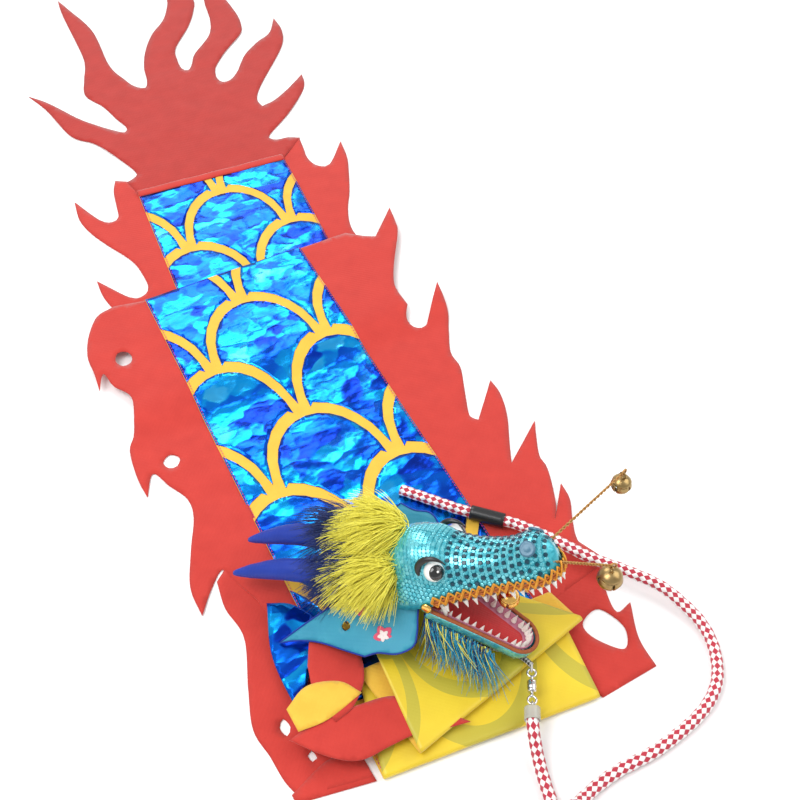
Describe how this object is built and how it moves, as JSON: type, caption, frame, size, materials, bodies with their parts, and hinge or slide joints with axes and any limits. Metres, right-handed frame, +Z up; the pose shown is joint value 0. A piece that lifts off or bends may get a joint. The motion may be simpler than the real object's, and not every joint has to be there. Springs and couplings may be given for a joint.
{
  "type": "ribbon dragon on a rope",
  "caption": "Dragon-headed cloth ribbon with flame borders and tail, a hinged jaw, whisker bells and a swivel rope for swinging or flying it.",
  "frame": {"origin": "middle of the laid-out dragon without its rope, on the floor it lies on", "axes": "+Y along the ribbon towards the tail tips, +Z up from the floor, +X to the right seen from above with the tail away"},
  "size_m": [0.4318, 1.33, 0.1239],
  "materials": {
    "foil_cloth": "crinkled foil",
    "red_cloth": "matte",
    "seam_tape": "matte",
    "yellow_cloth": "satin",
    "hoop_wire": "satin",
    "sequin_cloth": "sequined",
    "mouth_lining": "matte",
    "tooth_plastic": "satin",
    "gold_braid": "metallic thread",
    "gum_cloth": "satin",
    "corded_trim": "corded",
    "rivet_metal": "polished",
    "eye_white": "gloss",
    "eye_black": "gloss",
    "nostril_stud": "satin",
    "mane_fur": "fur",
    "mane_navy": "fur",
    "horn_cloth": "matte",
    "ear_cloth": "satin",
    "flower_print": "printed",
    "beard_thread": "threads",
    "whisker_wire": "twisted wire",
    "bell_brass": "aged",
    "pellet_steel": "satin",
    "bell_gold": "polished",
    "swivel_metal": "polished",
    "tow_cord_braid": "braided",
    "clear_tube": "gloss",
    "rope_braid": "braided",
    "black_tube": "satin"
  },
  "bodies": {
    "dragon": {"ribbon_strip": "foil_cloth", "flame_border_left": "red_cloth", "flame_border_right": "red_cloth", "tail_fin": "red_cloth", "tail_seam_tape": "seam_tape", "neck_sleeve": "yellow_cloth", "neck_hoop": "hoop_wire", "head_shell": "sequin_cloth", "palate_lining": "mouth_lining", "upper_teeth": "tooth_plastic", "fangs": "tooth_plastic", "lip_braid": "gold_braid", "jaw_rivets": "rivet_metal", "eye_left": "eye_white", "eye_right": "eye_white", "pupils": "eye_black", "eye_lashes": "eye_black", "nostril_studs": "nostril_stud", "mane_left": "mane_fur", "mane_right": "mane_fur", "mane_strands": "mane_navy", "horn_left": "horn_cloth", "horn_right": "horn_cloth", "beard": "beard_thread", "mouth_bell_hook": "bell_gold", "tow_ring": "swivel_metal", "tow_cord": "tow_cord_braid", "swivel_head_eye": "swivel_metal", "swivel_rope_eye": "swivel_metal", "rope_end_sleeve": "clear_tube", "rope_lead": "rope_braid", "rope_coil": "rope_braid", "rope_return": "rope_braid", "rope_grip": "black_tube"},
    "jaw": {"lower_jaw": "sequin_cloth", "jaw_lining": "gum_cloth", "lower_teeth": "tooth_plastic", "jaw_trim": "corded_trim"},
    "left_whisker": {"whisker_left": "whisker_wire"},
    "right_whisker": {"whisker_right": "whisker_wire"},
    "left_bell": {"whisker_bell_left": "bell_brass"},
    "right_bell": {"whisker_bell_right": "bell_brass"},
    "left_pellet": {"bell_pellet_left": "pellet_steel"},
    "right_pellet": {"bell_pellet_right": "pellet_steel"},
    "tongue_bell": {"mouth_bell": "bell_gold"},
    "tongue_pellet": {"bell_pellet_mouth": "pellet_steel"},
    "barrel": {"swivel_barrel": "swivel_metal"},
    "right_ear": {"ear_right": "ear_cloth", "ear_flower": "flower_print"},
    "left_ear": {"ear_left": "ear_cloth"}
  },
  "joints": [
    {"name": "jaw_hinge", "type": "hinge", "parent": "dragon", "child": "jaw", "pos_m": [-0.046, -0.47, 0.056], "axis": [0.7616, 0.5902, -0.2676], "range_deg": [-18, 3]},
    {"name": "left_whisker_flex", "type": "hinge", "parent": "dragon", "child": "left_whisker", "pos_m": [0.01656, -0.50727, 0.11073], "axis": [0.2873, -0.9578, 0], "range_deg": [-8, 24], "stiffness_Nm_per_rad": 0.3},
    {"name": "right_whisker_flex", "type": "hinge", "parent": "dragon", "child": "right_whisker", "pos_m": [-0.0002, -0.52025, 0.11662], "axis": [-0.3338, -0.9426, 0], "range_deg": [0, 30], "stiffness_Nm_per_rad": 0.3},
    {"name": "left_bell_swing", "type": "hinge", "parent": "left_whisker", "child": "left_bell", "pos_m": [0.09904, -0.48252, 0.10401], "axis": [0.9578, 0.2873, 0], "range_deg": [-60, 60]},
    {"name": "right_bell_swing", "type": "hinge", "parent": "right_whisker", "child": "right_bell", "pos_m": [0.05008, -0.53806, 0.09307], "axis": [0.9426, -0.3338, 0], "range_deg": [-60, 60]},
    {"name": "left_pellet_rattle", "type": "slide", "parent": "left_bell", "child": "left_pellet", "axis": [0, 0, 1], "range_m": [0, 0.006]},
    {"name": "right_pellet_rattle", "type": "slide", "parent": "right_bell", "child": "right_pellet", "axis": [0, 0, 1], "range_m": [0, 0.008]},
    {"name": "tongue_bell_swing", "type": "hinge", "parent": "dragon", "child": "tongue_bell", "pos_m": [-0.01215, -0.50728, 0.07868], "axis": [0.7314, -0.682, 0], "range_deg": [-20, 20]},
    {"name": "tongue_pellet_rattle", "type": "slide", "parent": "tongue_bell", "child": "tongue_pellet", "axis": [0, 0, 1], "range_m": [0, 0.006]},
    {"name": "swivel_spin", "type": "hinge", "parent": "dragon", "child": "barrel", "pos_m": [-0.021, -0.556, 0.018], "axis": [-0.5446, -0.8387, 0], "continuous": true},
    {"name": "right_ear_lift", "type": "hinge", "parent": "dragon", "child": "right_ear", "pos_m": [-0.074, -0.479, 0.052], "axis": [0.2613, 0.8215, 0.5068], "range_deg": [0, 18]},
    {"name": "left_ear_lift", "type": "hinge", "parent": "dragon", "child": "left_ear", "pos_m": [-0.02, -0.416, 0.038], "axis": [0.8029, 0.2206, 0.5538], "range_deg": [0, 45]}
  ]
}
